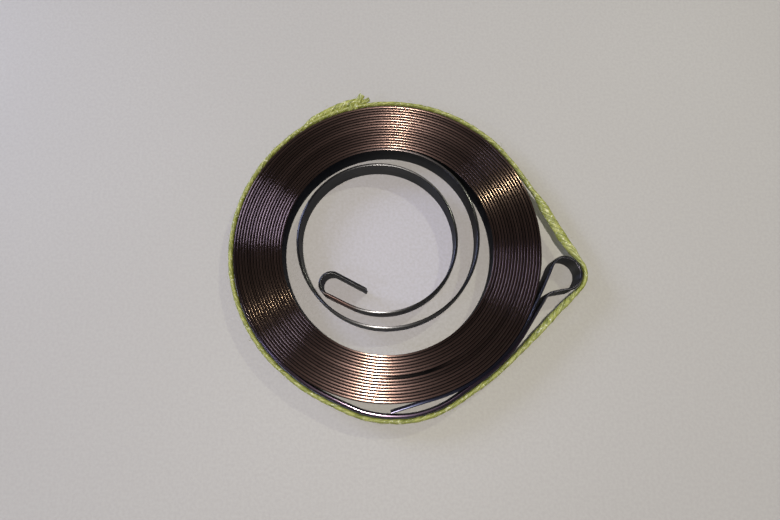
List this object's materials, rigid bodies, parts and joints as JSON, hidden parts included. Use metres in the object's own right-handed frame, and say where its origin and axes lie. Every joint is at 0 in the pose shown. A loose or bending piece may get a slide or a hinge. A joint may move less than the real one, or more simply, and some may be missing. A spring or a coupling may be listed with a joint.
{
  "type": "recoil starter spring",
  "caption": "Flat spiral spring of blued steel strip, wound tight on its edge with a hook inside and an eye outside, tied up with a cord until it is fitted in a pull starter.",
  "frame": {"origin": "the coil axis, on the plane of the strip's lower edges", "axes": "+Z along the coil axis, up from the surface that the coil lies on; +X to the side of the outer eye; the strip winds outwards counter-clockwise about +Z"},
  "size_m": [0.0832, 0.0774, 0.006],
  "materials": {
    "spring_strip": "blued spring steel with bare bronze-toned edges",
    "binding_cord": "twisted yellow-green twine"
  },
  "bodies": {
    "root": {"spring_strip": "spring_strip", "binding_cord": "binding_cord"}
  },
  "joints": []
}
